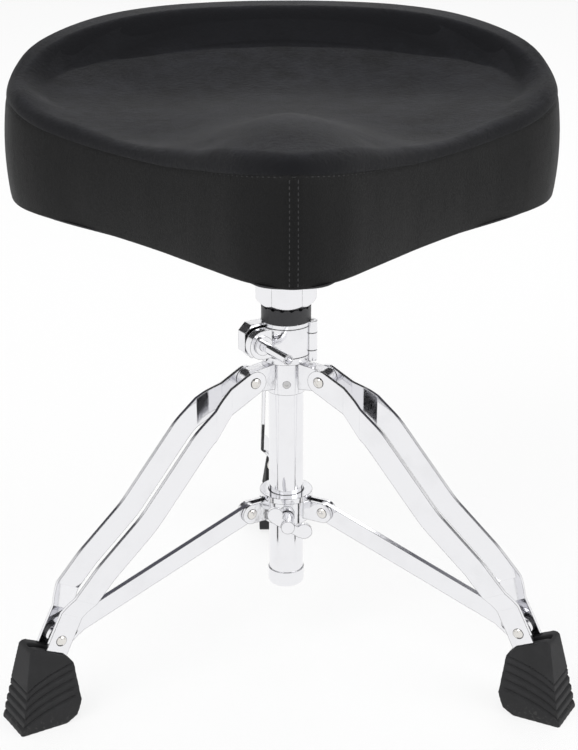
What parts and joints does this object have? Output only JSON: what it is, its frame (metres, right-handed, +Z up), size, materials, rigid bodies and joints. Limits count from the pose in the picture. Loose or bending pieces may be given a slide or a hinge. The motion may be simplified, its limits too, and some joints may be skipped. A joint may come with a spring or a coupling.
{
  "type": "drum throne",
  "caption": "Folding drum throne: padded saddle seat with a raised back rim on a telescoping post over a double-braced tripod with rubber feet.",
  "frame": {"origin": "on the floor, under the middle of the object's bounding box", "axes": "+Z up, the seat's nose points to -Y, the rear leg to +Y"},
  "size_m": [0.4642, 0.427, 0.5211],
  "materials": {
    "chrome": "bright chrome plate",
    "chrome_casting": "bright chrome plate on a casting",
    "rivet_steel": "polished nickel plate",
    "black_nylon": "moulded, satin",
    "black_rubber": "moulded rubber, matt",
    "velour": "short brushed nap",
    "vinyl": "soft satin grain",
    "foam": "open cell",
    "plywood": "raw birch ply",
    "dust_cloth": "non-woven",
    "zinc_screw": "zinc plate"
  },
  "bodies": {
    "base": {"main_tube": "chrome", "tube_end_cap": "chrome", "leg_bracket": "chrome_casting", "height_bushing": "black_nylon", "clamp_hinge_pin": "zinc_screw", "clamp_nut": "zinc_screw", "bracket_set_screw": "zinc_screw", "leg_pivot_rivets": "rivet_steel"},
    "door": {"clamp_door": "chrome_casting"},
    "door_screw": {"clamp_screw": "chrome"},
    "post": {"seat_post": "chrome", "post_plug": "black_nylon", "hex_collar": "chrome_casting", "hex_collar_screw": "chrome"},
    "seat": {"seat_hub": "chrome_casting", "hub_key_screw": "chrome", "hub_bolts": "zinc_screw", "tee_nuts": "zinc_screw", "seat_board": "plywood", "under_cover": "dust_cloth", "seat_foam": "foam", "seat_top_cover": "velour", "seat_side_band": "vinyl"},
    "collar": {"brace_collar": "chrome_casting", "collar_liner": "black_nylon", "ear_rivets": "rivet_steel"},
    "wing": {"wing_bolt": "chrome_casting"},
    "left_leg": {"left_leg_bar_a": "chrome", "left_leg_bar_b": "chrome", "left_foot": "black_rubber", "left_foot_rivet": "rivet_steel", "left_foot_washers": "black_nylon"},
    "left_brace": {"left_strut": "chrome"},
    "right_leg": {"right_leg_bar_a": "chrome", "right_leg_bar_b": "chrome", "right_foot": "black_rubber", "right_foot_rivet": "rivet_steel", "right_foot_washers": "black_nylon"},
    "right_brace": {"right_strut": "chrome"},
    "rear_leg": {"rear_leg_bar_a": "chrome", "rear_leg_bar_b": "chrome", "rear_foot": "black_rubber", "rear_foot_rivet": "rivet_steel", "rear_foot_washers": "black_nylon"},
    "rear_brace": {"rear_strut": "chrome"}
  },
  "joints": [
    {"name": "height_slide", "type": "slide", "parent": "base", "child": "post", "axis": [0, 0, 1], "range_m": [0, 0.14]},
    {"name": "seat_swivel", "type": "hinge", "parent": "post", "child": "seat", "pos_m": [0, -0.0435, 0.3336], "axis": [0, 0, 1], "continuous": true},
    {"name": "clamp_door_hinge", "type": "hinge", "parent": "base", "child": "door", "pos_m": [0.02048, -0.04937, 0.282], "axis": [0, 0, 1], "range_deg": [0, 2]},
    {"name": "clamp_screw_turn", "type": "hinge", "parent": "door", "child": "door_screw", "pos_m": [-0.01913, -0.06436, 0.282], "axis": [-0.5, 0.866, 0], "range_deg": [0, 720]},
    {"name": "brace_collar_slide", "type": "slide", "parent": "base", "child": "collar", "axis": [0, 0, 1], "range_m": [0, 0.05159]},
    {"name": "wing_bolt_turn", "type": "hinge", "parent": "collar", "child": "wing", "pos_m": [0, -0.0715, 0.132], "axis": [0, -1, 0], "range_deg": [0, 720]},
    {"name": "left_leg_fold", "type": "hinge", "parent": "base", "child": "left_leg", "pos_m": [-0.02988, -0.06075, 0.251], "axis": [0.5, -0.866, 0], "range_deg": [0, 38]},
    {"name": "left_strut_fold", "type": "hinge", "parent": "collar", "child": "left_brace", "pos_m": [-0.03135, -0.0616, 0.133], "axis": [0.5, -0.866, 0], "range_deg": [0, 61.73]},
    {"name": "right_leg_fold", "type": "hinge", "parent": "base", "child": "right_leg", "pos_m": [0.02988, -0.06075, 0.251], "axis": [0.5, 0.866, 0], "range_deg": [0, 38]},
    {"name": "right_strut_fold", "type": "hinge", "parent": "collar", "child": "right_brace", "pos_m": [0.03135, -0.0616, 0.133], "axis": [0.5, 0.866, 0], "range_deg": [0, 61.73]},
    {"name": "rear_leg_fold", "type": "hinge", "parent": "base", "child": "rear_leg", "pos_m": [0, -0.009, 0.251], "axis": [-1, 0, 0], "range_deg": [0, 38]},
    {"name": "rear_strut_fold", "type": "hinge", "parent": "collar", "child": "rear_brace", "pos_m": [0, -0.0073, 0.133], "axis": [-1, 0, 0], "range_deg": [0, 61.73]}
  ],
  "couplings": [
    {"joint": "brace_collar_slide", "follows": "left_leg_fold", "m_per_rad": 0.077489},
    {"joint": "right_leg_fold", "follows": "left_leg_fold", "ratio": 1},
    {"joint": "rear_leg_fold", "follows": "left_leg_fold", "ratio": 1},
    {"joint": "left_strut_fold", "follows": "left_leg_fold", "ratio": 1.6242},
    {"joint": "right_strut_fold", "follows": "left_leg_fold", "ratio": 1.6242},
    {"joint": "rear_strut_fold", "follows": "left_leg_fold", "ratio": 1.6242}
  ]
}
